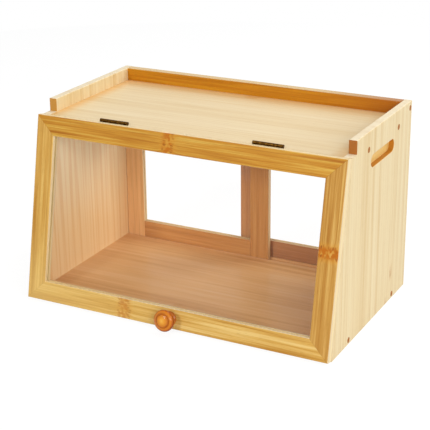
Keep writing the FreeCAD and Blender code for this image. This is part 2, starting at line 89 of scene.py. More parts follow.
# %% [markdown]
# ## Camera
# The box is looked at from its front right and from a little above, as on a kitchen counter seen by
# someone standing. A long lens, 1.5 m away, keeps the verticals nearly parallel. The camera could track
# an empty, but a direction, a distance and a small roll say the same with nothing left in the scene.

# %% Place the camera
VIEW_AZIMUTH = math.radians(27.7)
VIEW_ELEVATION = math.radians(20.9)
VIEW_ROLL = math.radians(-0.6)
VIEW_DISTANCE = 1.53
VIEW_TARGET = Vector((-0.005, rear - 0.120, 0.1))     # near the middle of the case
LENS = 104.4              # mm


def toward(azimuth, elevation):
    """Unit vector from the object to a place seen at an azimuth and elevation."""
    return Vector((math.sin(azimuth) * math.cos(elevation),
                   -math.cos(azimuth) * math.cos(elevation),
                   math.sin(elevation)))


view_back = toward(VIEW_AZIMUTH, VIEW_ELEVATION)
camera_data = bpy.data.cameras.new("camera")
camera_data.lens = LENS
camera = bpy.data.objects.new("camera", camera_data)
camera.rotation_mode = "QUATERNION"
camera.rotation_quaternion = view_back.to_track_quat("Z", "Y") @ Quaternion((0, 0, 1), VIEW_ROLL)
camera.location = VIEW_TARGET + view_back * VIEW_DISTANCE
bpy.context.scene.collection.objects.link(camera)
bpy.context.scene.camera = camera
bpy.context.scene.view_settings.view_transform = "Standard"
print("camera at", [round(x, 3) for x in camera.location], "lens", LENS, "mm")

# %% [markdown]
# ## Two small helpers for node trees
# Colours are written as the sRGB hex values that a paint program shows, and one function turns them
# into the linear values that shaders work in. Every material is a tree of nodes. Writing each node out
# takes four or five lines, so one function adds a node, sets it up, links it and hands back an output.

# %% Colour and node helpers
SOFT = {"interpolation_type": "SMOOTHSTEP"}     # a Map Range that eases in and out
COLOURS = {"data_type": "RGBA", "out": 2}       # a Mix that mixes colours
FACTOR, UNDER, OVER = 0, 6, 7                   # its sockets


def linear(hex_colour):
    """sRGB hex to linear RGBA."""
    channels = [int(hex_colour[i:i + 2], 16) / 255 for i in (1, 3, 5)]
    return [c / 12.92 if c <= 0.04045 else ((c + 0.055) / 1.055) ** 2.4 for c in channels] + [1]


WHITE = linear("#FFFFFF")
print("a mid grey of #808080 is %.2f in linear light" % linear("#808080")[0])


def add(tree, kind, inputs=None, out=0, stops=None, **settings):
    """Add a node with its settings, values and links, and give back one of its outputs."""
    node = tree.nodes.new("ShaderNode" + kind)
    for name, value in settings.items():
        setattr(node, name, value)
    for socket, value in (inputs or {}).items():
        if isinstance(value, bpy.types.NodeSocket):
            tree.links.new(value, node.inputs[socket])
        else:
            node.inputs[socket].default_value = value
    if stops:
        ramp = node.color_ramp.elements
        while len(ramp) < len(stops):
            ramp.new(1)
        for element, (position, hex_colour) in zip(ramp, stops):
            element.position = position
            element.color = linear(hex_colour)
    return node.outputs[out] if len(node.outputs) else node


def new_tree(name):
    """An empty material and its node tree."""
    material = bpy.data.materials.new(name)
    material.use_nodes = True
    material.node_tree.nodes.clear()
    return material, material.node_tree


# %% [markdown]
# ## White room
# The box stands on a plain white sweep under soft lamps. The background could be made white with
# stronger lamps, but that would bleach the pale bamboo. Here the lamps stay at a level at which colours
# render as they are written, and only what the camera, a mirror or glass sees directly is lifted to
# white. The floor still shows a faint soft shadow.

# %% World
AMBIENT = 0.30     # light from all round, where 1 is white


def seen_directly(tree):
    """1 for camera, mirror and glass rays, 0 for the light that reaches other surfaces."""
    rays = [add(tree, "LightPath", out=name)
            for name in ("Is Camera Ray", "Is Glossy Ray", "Is Transmission Ray")]
    pair = add(tree, "Math", {0: rays[0], 1: rays[1]}, operation="MAXIMUM")
    return add(tree, "Math", {0: pair, 1: rays[2]}, operation="MAXIMUM")


world = bpy.data.worlds.new("white_room")
bpy.context.scene.world = world
world.use_nodes = True
tree = world.node_tree
tree.nodes.clear()
sky = add(tree, "Background", {"Color": WHITE, "Strength": AMBIENT})
white = add(tree, "Background", {"Color": WHITE, "Strength": 1.0})
both = add(tree, "MixShader", {0: seen_directly(tree), 1: sky, 2: white})
add(tree, "OutputWorld", {"Surface": both})

# %% Floor
FLOOR_RADIUS = 1.6
FLOOR_SIDES = 96
FLOOR_PAPER = "#E7E7E7"     # matt white paper sends back 80% of the light
FLOOR_LIFT = 0.90           # share of the floor's look that is plain white
FLOOR_SHADE = 0.14          # share that shows light and shadow
floor_material, tree = new_tree("white_paper_sweep")
plain = add(tree, "BsdfDiffuse", {"Color": linear(FLOOR_PAPER)})
shaded = add(tree, "BsdfDiffuse", {"Color": (FLOOR_SHADE, FLOOR_SHADE, FLOOR_SHADE, 1)})
lifted = add(tree, "Emission", {"Color": WHITE, "Strength": FLOOR_LIFT})
shown = add(tree, "AddShader", {0: shaded, 1: lifted})
surface = add(tree, "MixShader", {0: seen_directly(tree), 1: plain, 2: shown})
add(tree, "OutputMaterial", {"Surface": surface})

floor_mesh = bpy.data.meshes.new("floor")
shape = bmesh.new()
bmesh.ops.create_circle(shape, cap_ends=True, segments=FLOOR_SIDES, radius=FLOOR_RADIUS)
shape.to_mesh(floor_mesh)
shape.free()
floor_mesh.materials.append(floor_material)
floor = bpy.data.objects.new("floor", floor_mesh)
bpy.context.scene.collection.objects.link(floor)
print("floor disc %.0f m across" % (2 * FLOOR_RADIUS))

# %% [markdown]
# Four soft boxes do the rest. The key stands at the front right, level enough to shine through the clear
# door onto the floor and the far wall of the box. One behind the right shoulder of the box comes in
# through the clear sliding panels, because without it the inside would be a dark hole. The overhead one
# lights the tray, and the small one in front the door.

# %% Lamps
LAMPS = (   # name, azimuth, elevation, distance, width, height, watts
    ("key_softbox", 44, 21, 2.4, 1.3, 1.0, 27),
    ("overhead_softbox", 150, 78, 2.2, 1.4, 1.0, 17),
    ("front_softbox", -12, 24, 2.6, 0.45, 0.45, 19),
    ("rear_softbox", 138, 30, 2.4, 1.2, 0.9, 17),
)
for name, azimuth, elevation, distance, width, height, watts in LAMPS:
    lamp_data = bpy.data.lights.new(name, "AREA")
    lamp_data.shape = "RECTANGLE"
    lamp_data.size = width
    lamp_data.size_y = height
    lamp_data.energy = watts
    lamp = bpy.data.objects.new(name, lamp_data)
    direction = toward(math.radians(azimuth), math.radians(elevation))
    lamp.location = VIEW_TARGET + direction * distance
    lamp.rotation_euler = direction.to_track_quat("Z", "Y").to_euler()
    bpy.context.scene.collection.objects.link(lamp)
    # a white surface facing the lamp renders at watts / (pi * distance) squared
    print(name, "adds a level of %.2f" % (watts / (math.pi * distance) ** 2))

# %% [markdown]
# ## Laminated bamboo
# Bamboo board is split culm, planed into strips, bleached pale or steamed to caramel, glued edge to edge
# and lacquered. The eye reads it by four things: strips that each have their own tone, thin glue lines,
# long straight fibres, and the short brown knuckles where a leaf grew from the culm. A picture of a
# board could carry all this, but a pattern worked out from the object's own coordinates has no seams,
# fits every piece, and stays put when a door swings.
#
# Three small steps come first: where a point lies in its board, noise stretched to real sizes, and one
# colour laid over another, for a stain or for painted light or shade.

# %% Places, noise and stains
def along(tree, direction):
    """How far a point of the surface lies along a direction, in metres."""
    place = add(tree, "TexCoord", out="Object")
    return add(tree, "VectorMath", {0: place, 1: direction}, "Value", operation="DOT_PRODUCT")


def stretched_noise(tree, place, sizes, detail=2.0):
    """Noise whose blotches have the given real sizes along, across and through the board."""
    scaled = [add(tree, "Math", {0: axis, 1: 1 / size}, operation="MULTIPLY")
              for axis, size in zip(place, sizes)]
    vector = add(tree, "CombineXYZ", dict(enumerate(scaled)))
    return add(tree, "TexNoise", {"Vector": vector, "Scale": 1.0, "Detail": detail}, "Fac")


def from_middle(tree, value, centre):
    """Distance of a value from a centre."""
    offset = add(tree, "Math", {0: value, 1: centre}, operation="SUBTRACT")
    return add(tree, "Math", {0: offset}, operation="ABSOLUTE")


def stained(tree, colour, mask, strength, hex_colour):
    """The colour with another laid over it where the mask is 1, for a stain or for painted light or
    shade.
    """
    amount = add(tree, "Math", {0: mask, 1: strength}, operation="MULTIPLY")
    return add(tree, "Mix", {FACTOR: amount, UNDER: colour, OVER: linear(hex_colour)}, **COLOURS)


# %% [markdown]
# A knuckle is the short band where the culm had a joint. Bundles of fibre that run straight elsewhere
# cross over there, and where they are cut they show as brown ticks, in a ragged row on each side of the
# joint, with orange blots between. The real ticks are 0.5 to 1 mm wide, and they are drawn twice as wide
# so that they show at arm's length. A noise pushes everything a little out of line.

# %% Knuckles
TICK_SPACING = 3.3 * MM
TICK_ROW = 6.0 * MM                   # from the joint to a row of ticks
TICK_SHIFT = 6.0 * MM                 # between the nearest and the furthest tick of a ragged row
TICK_REACH = (2.4 * MM, 0.8 * MM)     # half a tick's length, from where it fades to where it is full
TICK_EDGE = (0.45, 0.1)               # the same across a tick, as a share of the spacing
KNUCKLE_REACH = (14 * MM, 6 * MM)     # the same for the glow round the joint
BLOT_REACH = (1.6 * TICK_ROW, 0.4 * TICK_ROW)
BLOT_EDGE = (0.36, 0.54)              # values of the noise between which a blot fades in
WARP = 4.0 * MM                       # between the furthest pushes one way and the other
WARP_SIZE = 6 * MM
KNUCKLE_COLOURS = ("#CC8E2C", "#B5650C", "#8C460A")     # glow, blots, ticks
KNUCKLE_DEPTHS = (0.45, 0.9, 0.9)


def pushed_about(tree, offset, across, seed):
    """Places along and across with a noise added, and a third noise."""
    place = add(tree, "CombineXYZ", {0: offset, 1: across, 2: seed})
    noise = add(tree, "TexNoise", {"Vector": place, "Scale": 1 / WARP_SIZE, "Detail": 1.0}, "Color")
    push_along, push_across, third = add(tree, "SeparateColor", {0: noise}).node.outputs
    pushed = []
    for value, push in ((offset, push_along), (across, push_across)):
        push = add(tree, "Math", {0: push, 1: 0.5}, operation="SUBTRACT")
        pushed.append(add(tree, "Math", {0: push, 1: WARP, 2: value}, operation="MULTIPLY_ADD"))
    return pushed[0], pushed[1], third


def knuckle_ticks(tree, offset, from_joint, across, seed):
    """Mask of the ticks, with one for each bundle on each side of the joint."""
    bundles = add(tree, "Math", {0: across, 1: 1 / TICK_SPACING, 2: seed}, operation="MULTIPLY_ADD")
    bundle = add(tree, "Math", {0: bundles}, operation="FLOOR")
    side = add(tree, "Math", {0: offset}, operation="SIGN")
    pick = add(tree, "CombineXYZ", {0: bundle, 1: side})
    chance = add(tree, "TexWhiteNoise", {"Vector": pick}, "Color", noise_dimensions="2D")
    shift, depth, _ = add(tree, "SeparateColor", {0: chance}).node.outputs
    row = add(tree, "Math", {0: shift, 1: TICK_SHIFT, 2: TICK_ROW - TICK_SHIFT / 2},
              operation="MULTIPLY_ADD")
    off_row = add(tree, "Math", {0: from_joint, 1: row}, operation="SUBTRACT")
    ticks = add(tree, "MapRange", {"Value": from_middle(tree, off_row, 0.0), "From Min": TICK_REACH[0],
                                   "From Max": TICK_REACH[1]}, **SOFT)
    part = from_middle(tree, add(tree, "Math", {0: bundles}, operation="FRACT"), 0.5)
    body = add(tree, "MapRange", {"Value": part, "From Min": TICK_EDGE[0],
                                  "From Max": TICK_EDGE[1]}, **SOFT)
    for share in (body, depth):
        ticks = add(tree, "Math", {0: ticks, 1: share}, operation="MULTIPLY")
    return ticks


def knuckle_marks(tree, offset, across, seed):
    """Masks of the glow round a knuckle, of its blots and of its ticks."""
    pushed_offset, pushed_across, blot = pushed_about(tree, offset, across, seed)
    from_joint = from_middle(tree, pushed_offset, 0.0)
    glow = add(tree, "MapRange", {"Value": from_joint, "From Min": KNUCKLE_REACH[0],
                                  "From Max": KNUCKLE_REACH[1]}, **SOFT)
    blot = add(tree, "MapRange", {"Value": blot, "From Min": BLOT_EDGE[0],
                                  "From Max": BLOT_EDGE[1]}, **SOFT)
    band = add(tree, "MapRange", {"Value": from_joint, "From Min": BLOT_REACH[0],
                                  "From Max": BLOT_REACH[1]}, **SOFT)
    blots = add(tree, "Math", {0: blot, 1: band}, operation="MULTIPLY")
    return glow, blots, knuckle_ticks(tree, offset, from_joint, pushed_across, seed)


# %% [markdown]
# Each strip of a board was cut from another stretch of culm, so it starts at another place along the
# grain, and its knuckles lie elsewhere. A member of a frame is cut from a wide strip and has one knuckle
# at most, which is put where the real one is. Fibres draw together beside it, so in the pattern the
# distances from the middle of the member grow there.

# %% Strips and the places of their knuckles
INTERNODE = 260 * MM          # from one joint of the culm to the next
STRIP_SHIFT = 3.0             # metres that one strip is moved against the next, at most
PINCH_REACH = 16 * MM         # from a knuckle to where its fibres run straight again
PINCH = 0.35                  # what is added to distances from the middle, as a share
NO_KNUCKLE = -500 * MM        # a place beyond the end of every board


def strips(tree, across, width, seed):
    """Count of strips with its fraction, and three random numbers for each strip."""
    count = add(tree, "Math", {0: across, 1: 1 / width, 2: seed}, operation="MULTIPLY_ADD")
    number = add(tree, "Math", {0: count}, operation="FLOOR")
    chance = add(tree, "TexWhiteNoise", {"W": number}, "Color", noise_dimensions="1D")
    split = add(tree, "SeparateColor", {0: chance}).node
    return count, split.outputs


def scattered_knuckles(tree, shifted, luck, share):
    """Distance past the nearest knuckle of each strip, and whether the strip shows its knuckles."""
    turn = add(tree, "Math", {0: shifted, 1: 1 / INTERNODE}, operation="MULTIPLY")
    part = add(tree, "Math", {0: turn}, operation="FRACT")
    offset = add(tree, "Math", {0: part, 1: INTERNODE, 2: -INTERNODE / 2}, operation="MULTIPLY_ADD")
    return offset, add(tree, "Math", {0: luck, 1: share}, operation="LESS_THAN")


def single_knuckle(tree, place, knuckle):
    """Distance past the knuckle of a member, and places across it with the fibres drawn together."""
    offset = add(tree, "Math", {0: place[0], 1: knuckle[0]}, operation="SUBTRACT")
    pinch = add(tree, "MapRange", {"Value": from_middle(tree, offset, 0.0), "From Min": PINCH_REACH,
                                   "From Max": 0.0, "To Max": PINCH}, **SOFT)
    side = add(tree, "Math", {0: place[1], 1: knuckle[1]}, operation="SUBTRACT")
    return offset, add(tree, "Math", {0: side, 1: pinch, 2: place[1]}, operation="MULTIPLY_ADD")


# %% [markdown]
# A board's tone is the sum of three things: the strip it is in, slow streaks, and fine fibres. The
# fibres of real bamboo are 0.3 mm thick, too fine to show at arm's length, so they are drawn 1 mm thick
# here. The sum runs through a ramp of three colours, those of dark, middling and pale wood. The wood
# itself hardly shines. The lacquer is a thin clear coat over it: satin, with a soft reflection that
# shows at a flat angle.

# %% Bamboo material
FIBRE = (60 * MM, 1.0 * MM, 1.0 * MM)     # length, width and depth
STREAK = (170 * MM, 4.5 * MM, 4.5 * MM)
TONE_STOPS = (0.1, 0.5, 0.9)              # of the three colours on the ramp
DASH = (9 * MM, 0.8 * MM, 0.8 * MM)       # short dark flecks, drawn twice as wide as they are
DASH_EDGE = (0.58, 0.72)                  # values of the noise between which a fleck fades in
GLUE_LINE = 0.45 * MM                     # drawn wider than the real 0.1 mm, to show
GLUE_DARK = "#8A5A24"
SATIN = (0.35, 0.25)                      # roughness of the smoothest wood, and what fibres add
FIBRE_RELIEF = 0.15 * MM


def board_tone(tree, place, strip_tone, contrasts):
    """Tone of the wood from 0 to 1, and the fibres in it."""
    streaks = stretched_noise(tree, place, STREAK)
    fibres = stretched_noise(tree, place, FIBRE)
    # each of the three is 0.5 on average, so this start keeps the mean tone in the middle of the ramp
    tone = 0.5 - sum(contrasts) / 2
    for value, contrast in zip((strip_tone, streaks, fibres), contrasts):
        tone = add(tree, "Math", {0: value, 1: contrast, 2: tone}, operation="MULTIPLY_ADD")
    return tone, fibres


def bamboo(name, grain, across, strip, tones, strip_contrast=0.5, streak_contrast=1.0,
           fibre_contrast=0.7, glue=0.35, dashes=0.2, knuckle=None, knuckle_share=0.3,
           knuckle_depth=0.6, seed=0.0, coat=0.1, stains_and_painted_light=()):
    """Lacquered bamboo board.

    grain and across are the directions along and across its strips, strip is the width of one, and
    tones are the dark, middling and pale colour. The contrasts say how much the strips, streaks and
    fibres change the tone, and glue and dashes how strong the glue lines and flecks are. knuckle is the
    place of a single knuckle along and across, or None for one here and there on a share of the strips.
    seed picks other strips. Each stain, painted light or painted shade is a mask, a strength and a
    colour, laid on in that order.
    """
    material, tree = new_tree(name)
    place = [along(tree, axis) for axis in (grain, across, grain.cross(across))]
    count, (strip_tone, strip_shift, strip_luck) = strips(tree, place[1], strip, seed)
    shifted = add(tree, "Math", {0: strip_shift, 1: STRIP_SHIFT, 2: place[0]}, operation="MULTIPLY_ADD")
    if knuckle is None:
        offset, luck = scattered_knuckles(tree, shifted, strip_luck, knuckle_share)
        crossing = place[1]
    else:
        offset, crossing = single_knuckle(tree, place, knuckle)
        luck = 1.0

    fibre_place = [shifted, crossing, place[2]]
    contrasts = (strip_contrast, streak_contrast, fibre_contrast)
    tone, fibres = board_tone(tree, fibre_place, strip_tone, contrasts)
    colour = add(tree, "ValToRGB", {0: tone}, stops=list(zip(TONE_STOPS, tones)))

    flecks = stretched_noise(tree, fibre_place, DASH, detail=1.0)
    fleck = add(tree, "MapRange", {"Value": flecks, "From Min": DASH_EDGE[0],
                                   "From Max": DASH_EDGE[1]}, **SOFT)
    colour = stained(tree, colour, fleck, dashes, GLUE_DARK)

    from_glue = from_middle(tree, add(tree, "Math", {0: count}, operation="FRACT"), 0.5)
    joint = add(tree, "MapRange", {"Value": from_glue, "From Min": 0.5 - GLUE_LINE / strip,
                                   "From Max": 0.5}, **SOFT)
    colour = stained(tree, colour, joint, glue, GLUE_DARK)

    masks = knuckle_marks(tree, offset, crossing, seed)
    for mask, depth, hex_colour in zip(masks, KNUCKLE_DEPTHS, KNUCKLE_COLOURS):
        mask = add(tree, "Math", {0: mask, 1: luck}, operation="MULTIPLY")
        colour = stained(tree, colour, mask, depth * knuckle_depth, hex_colour)
    for mask_of, strength, hex_colour in stains_and_painted_light:
        colour = stained(tree, colour, mask_of(tree), strength, hex_colour)

    roughness = add(tree, "Math", {0: fibres, 1: SATIN[1], 2: SATIN[0]}, operation="MULTIPLY_ADD")
    bump = add(tree, "Bump", {"Height": fibres, "Strength": 0.2, "Distance": FIBRE_RELIEF})
    shader = add(tree, "BsdfPrincipled", {
        "Base Color": colour, "Roughness": roughness, "Normal": bump, "IOR": 1.5,
        "Specular IOR Level": 0.15, "Coat Weight": coat, "Coat Roughness": 0.16})
    add(tree, "OutputMaterial", {"Surface": shader})
    return material


# %% [markdown]
# A CAD node gets its finish through its material slots. It keeps all the slots that it came with,
# because its faces refer to them by number, and each slot gets the new material.

# %% Put a material on nodes
def wear(material, *node_names):
    """Give CAD nodes a material in all their slots."""
    for node_name in node_names:
        mesh = nodes[node_name].data
        if not mesh.materials:
            mesh.materials.append(material)
        for index in range(len(mesh.materials)):
            mesh.materials[index] = material
    print(material.name, "on", ", ".join(node_names))


# %% [markdown]
# ## Painted light and shade by place
# The sawn ends of the rails that face the front get painted shade over their end grain. Edges that face
# up or sideways get a painted highlight, and the grooves round the panes painted light that lifts their
# shade. Such places could be painted by hand, but these masks find them from where a point lies and which
# way it faces, in the object's own frame, so they follow the model when its sizes change. A mask goes
# from
# 0 to 1. Where it depends on the board, the function gives back another function that makes the mask.

# %% Edges, grooves and ends
EDGE_TURN = (0.85, 0.4)                # cosines between which a face turns into an edge
END_TURN = (0.25, 0.5)                 # the same for the sawn end of a rail
GROOVE_PLAY = (0.4 * MM, 0.2 * MM)     # beyond the pane's faces, where the look of a groove ends
RAIL_FOOT = (-0.5 * MM, 0.5 * MM)      # from the tray's top, above which the rails stand
RAIL_FRONT = (0.0, -20 * MM)           # the rails' front ends lie ahead of the middle of the box


def facing(tree, direction, start, end):
    """How far the surface faces along a direction, either way. start and end are cosines."""
    normal = add(tree, "TexCoord", out="Normal")
    toward_it = add(tree, "VectorMath", {0: normal, 1: direction}, "Value", operation="DOT_PRODUCT")
    either = add(tree, "Math", {0: toward_it}, operation="ABSOLUTE")
    return add(tree, "MapRange", {"Value": either, "From Min": start, "From Max": end}, **SOFT)


def painted_highlight_edges_of(through):
    """A board's edges, the faces that don't look through its thickness, which get a painted highlight."""
    return lambda tree: facing(tree, through, *EDGE_TURN)


def painted_light_groove_of(pane, through):
    """The groove that holds a pane, which gets painted light to lift its shade."""
    low, high = span(pane, through)
    half = (high - low) / 2
    return lambda tree: add(tree, "MapRange", {
        "Value": from_middle(tree, along(tree, through), (low + high) / 2),
        "From Min": half + GROOVE_PLAY[0], "From Max": half + GROOVE_PLAY[1]})


def rail_end_grain_and_shade(tree):
    """Sawn front ends of the gallery rails, rounding and all, which get painted shade over their end
    grain.
    """
    front = facing(tree, BACK, *END_TURN)
    above = add(tree, "MapRange", {"Value": along(tree, UP), "From Min": tray_top + RAIL_FOOT[0],
                                   "From Max": tray_top + RAIL_FOOT[1]}, **SOFT)
    forward = add(tree, "MapRange", {"Value": along(tree, BACK), "From Min": RAIL_FRONT[0],
                                     "From Max": RAIL_FRONT[1]}, **SOFT)
    mask = add(tree, "Math", {0: front, 1: above}, operation="MULTIPLY")
    return add(tree, "Math", {0: mask, 1: forward}, operation="MULTIPLY")


# %% [markdown]
# The finger grips are routed into the outsides of the side panels. The bottom of the recess gets painted
# shade, more golden than the face, and its walls, which cut across the fibres, are darkest: end grain
# with painted shade.

# %% Finger grips
GRIP_MARGIN = (9 * MM, 8 * MM)       # the recess is a little larger than the opening's box
GRIP_SKIN = (0.1 * MM, 0.7 * MM)     # leaves out the outer face
GRIP_FLOOR = (2 * MM, 1 * MM)        # takes in the bottom of the recess, but not the inner face
WALL_TURN = (0.85, 0.5)              # cosines between which the bottom turns into a wall


def in_grip(tree):
    """The routed finger grip, walls and bottom, without the outer face."""
    low, high = openings["finger_grip_right"]
    mask = 1.0
    for axis, (start, end) in ((BACK, (low[1], high[1])), (UP, (low[2], high[2]))):
        off = from_middle(tree, along(tree, axis), (start + end) / 2)
        reach = (end - start) / 2
        inside = add(tree, "MapRange", {"Value": off, "From Min": reach + GRIP_MARGIN[0],
                                        "From Max": reach + GRIP_MARGIN[1]}, **SOFT)
        mask = add(tree, "Math", {0: inside, 1: mask}, operation="MULTIPLY")
    out = from_middle(tree, along(tree, RIGHT), 0.0)
    for start, end in ((half_width - GRIP_SKIN[0], half_width - GRIP_SKIN[1]),
                       (low[0] - GRIP_FLOOR[0], low[0] - GRIP_FLOOR[1])):
        layer = add(tree, "MapRange", {"Value": out, "From Min": start, "From Max": end}, **SOFT)
        mask = add(tree, "Math", {0: layer, 1: mask}, operation="MULTIPLY")
    return mask


def grip_walls(tree):
    """The sawn walls of the finger grip."""
    wall = facing(tree, RIGHT, *WALL_TURN)
    return add(tree, "Math", {0: in_grip(tree), 1: wall}, operation="MULTIPLY")


# %% [markdown]
# The tray beside the gallery rails gets painted shade, warmed by painted bounce light from the rails. The
# inner faces of the sides are painted paler, as painted light inside the box, grow warmer and more golden
# towards their foot, and carry darker streaks.

# %% Painted shade by the rails, and the inner walls
RAIL_SHADE_AHEAD = (50 * MM, 12 * MM)          # of the rear face, the back rail being 12 mm thick
RAIL_SHADE_BESIDE = 22 * MM
WALL_SKIN = (0.6 * MM, 0.2 * MM)         # how deep in the board the inner face ends
FOOT_HEIGHT = (0.9, 0.2)                 # shares of the tray's height, from faint to full
INNER_STREAK = (260 * MM, 5 * MM, 5 * MM)
INNER_STREAK_EDGE = (0.42, 0.72)         # values of the noise between which a streak fades in


def painted_shade_by_the_rails(tree):
    """The strip of the tray beside the gallery rails, which gets painted shade and bounce light."""
    to_back = add(tree, "MapRange", {"Value": along(tree, BACK), "From Min": rear - RAIL_SHADE_AHEAD[0],
                                     "From Max": rear - RAIL_SHADE_AHEAD[1]}, **SOFT)
    out = from_middle(tree, along(tree, RIGHT), 0.0)
    to_side = add(tree, "MapRange", {"Value": out, "From Min": inner_half_width - RAIL_SHADE_BESIDE,
                                     "From Max": inner_half_width}, **SOFT)
    return add(tree, "Math", {0: to_back, 1: to_side}, operation="MAXIMUM")


def inner_face(tree):
    """The face of a side panel that looks into the box."""
    out = from_middle(tree, along(tree, RIGHT), 0.0)
    inside = add(tree, "MapRange", {"Value": out, "From Min": inner_half_width + WALL_SKIN[0],
                                    "From Max": inner_half_width + WALL_SKIN[1]}, **SOFT)
    below = add(tree, "MapRange", {"Value": along(tree, UP), "From Min": tray_top,
                                   "From Max": tray_top - MM}, **SOFT)
    return add(tree, "Math", {0: inside, 1: below}, operation="MULTIPLY")


def wall_foot(tree):
    """The lower part of an inner face, which is made warmer and more golden."""
    low = add(tree, "MapRange", {"Value": along(tree, UP), "From Min": FOOT_HEIGHT[0] * tray_top,
                                 "From Max": FOOT_HEIGHT[1] * tray_top}, **SOFT)
    return add(tree, "Math", {0: inner_face(tree), 1: low}, operation="MULTIPLY")


def inner_streaks(tree):
    """Darker streaks up the inner face of a side panel."""
    place = [along(tree, axis) for axis in (UP, BACK, RIGHT)]
    streaks = stretched_noise(tree, place, INNER_STREAK)
    dark = add(tree, "MapRange", {"Value": streaks, "From Min": INNER_STREAK_EDGE[0],
                                  "From Max": INNER_STREAK_EDGE[1]}, **SOFT)
    return add(tree, "Math", {0: inner_face(tree), 1: dark}, operation="MULTIPLY")


# %% [markdown]
# ## Case
# The sides, the tray and the floor are bleached bamboo, the floor of a warmer tone. In the sides narrow
# strips stand upright, and in the tray and the floor wider ones run from side to side. The back rail and
# the door are darker and more golden, which is painted shade, as they face the front, away from the
# lamps.
# Each board gets its own set of tones. The front ends of the gallery rails are sawn across, and get
# painted shade over their end grain, the right one the darkest.

# %% Case boards
RIGHT_END = 0.3     # where the darker end begins, as a share of the half width


def right_end(tree):
    """The right end of a board that lies across, which is made darker."""
    return add(tree, "MapRange", {"Value": along(tree, RIGHT), "From Min": RIGHT_END * half_width,
                                  "From Max": half_width}, **SOFT)


PALE = ("#D9BA82", "#E8D2A3", "#EDDCB5")
PALE_TOP = ("#DABC88", "#E8D1A6", "#EEDCB8")
WARM_FLOOR = ("#C28849", "#E2B278", "#EEC899")
# painted shade: darker golden tones for the back rail, which faces the front, away from the lamps
BROWN_GOLD = ("#9E5E06", "#BA7610", "#CE9120")
# end grain with painted shade on the rail ends, the right one in the deepest
RAIL_END_GRAIN_AND_SHADE = {"side_panel_left": "#BC842E", "side_panel_right": "#A05A08"}
# On the sides, the paler edges are a painted highlight and the paler inner face is painted light inside
# the box. The rail ends get painted shade over end grain, and the finger grip gets painted shade.
for node, end_tone in RAIL_END_GRAIN_AND_SHADE.items():
    wear(bamboo("bleached_bamboo_" + node, UP, BACK, 7 * MM, PALE, strip_contrast=0.35,
                streak_contrast=0.7, fibre_contrast=0.5, glue=0.12, dashes=0.1,
                knuckle_share=0.06, knuckle_depth=0.3,
                stains_and_painted_light=[(painted_highlight_edges_of(RIGHT), 0.4, "#F6EAD4"), (inner_face, 0.85, "#FFF4D2"),
                        (wall_foot, 0.5, "#EEB250"), (inner_streaks, 0.35, "#DC9E48"),
                        (rail_end_grain_and_shade, 0.96, end_tone), (in_grip, 0.9, "#EFC46C"),
                        (grip_walls, 1.0, "#C4822A")]), node)
# the tray's strip beside the rails gets painted shade and bounce light
wear(bamboo("bleached_bamboo_tray", RIGHT, BACK, 19 * MM, PALE_TOP, seed=3.3, strip_contrast=0.2,
            streak_contrast=0.8, fibre_contrast=0.6, glue=0.12, dashes=0.08, knuckle_share=0.15,
            knuckle_depth=0.3, coat=0.05,
            stains_and_painted_light=[(painted_shade_by_the_rails, 0.6, "#D99E44"), (right_end, 0.35, "#CBB48C")]), "top_board")
wear(bamboo("bleached_bamboo_floor", RIGHT, BACK, 19 * MM, WARM_FLOOR, seed=7.7, strip_contrast=0.2,
            streak_contrast=0.6, fibre_contrast=0.4, glue=0.15, dashes=0.0, knuckle_share=0.0,
            coat=0.12), "floor_board")
wear(bamboo("bamboo_in_painted_shade_back_rail", RIGHT, UP, 30 * MM, BROWN_GOLD, knuckle=(NO_KNUCKLE, tray_top),
            stains_and_painted_light=[(painted_highlight_edges_of(BACK), 0.7, "#EBD3A0"), (right_end, 0.75, "#A4560C")]), "back_rail")

# %% [markdown]
# ## Door
# Four mitred members of bamboo hold the pane. Their darker, golden tones are painted shade, as the door
# faces the front, away from the lamps, and their edges get a painted highlight. They are cut from wide
# strips, so each shows long streaks and one glue line at most, and three of them carry a knuckle. The
# lower left is painted paler, as painted light bounced up from the floor. A thin dark line runs across
# each corner, where the mitres meet. It could be a groove in the mesh, but at 0.3 mm wide it is only a
# line.

# %% Door frame
# painted shade: darker golden tones for a door that faces the front, away from the lamps
GOLDEN = {"top_rail": ("#A66616", "#C0862A", "#D4AA4C"),
          "bottom_rail": ("#B47E2C", "#D0A350", "#E2C178"),
          "left_stile": ("#B27C2C", "#CC9C4A", "#DEB868"),
          "right_stile": ("#A46A20", "#BC8A3E", "#D2A65A")}
KNUCKLES = {"top_rail": (-20 * MM, 1.0), "bottom_rail": (-62 * MM, 0.7),     # place and strength
            "left_stile": (NO_KNUCKLE, 1.0), "right_stile": (104 * MM, 1.2)}
STRIP = 60 * MM           # more than twice the width of a member
MITRE_LINE = 0.7 * MM     # drawn twice its real width
door_low, door_high = span("door_left_stile", UP_SLOPE)
door_middle = (door_low + door_high) / 2


def mitre_lines(tree):
    """Thin lines from the corners of the door at 45 degrees."""
    from_side = add(tree, "Math", {0: half_width, 1: from_middle(tree, along(tree, RIGHT), 0.0)},
                    operation="SUBTRACT")
    from_end = add(tree, "Math", {0: (door_high - door_low) / 2,
                                  1: from_middle(tree, along(tree, UP_SLOPE), door_middle)},
                   operation="SUBTRACT")
    apart = from_middle(tree, add(tree, "Math", {0: from_side, 1: from_end}, operation="SUBTRACT"), 0.0)
    return add(tree, "MapRange", {"Value": apart, "From Min": MITRE_LINE, "From Max": 0.0}, **SOFT)


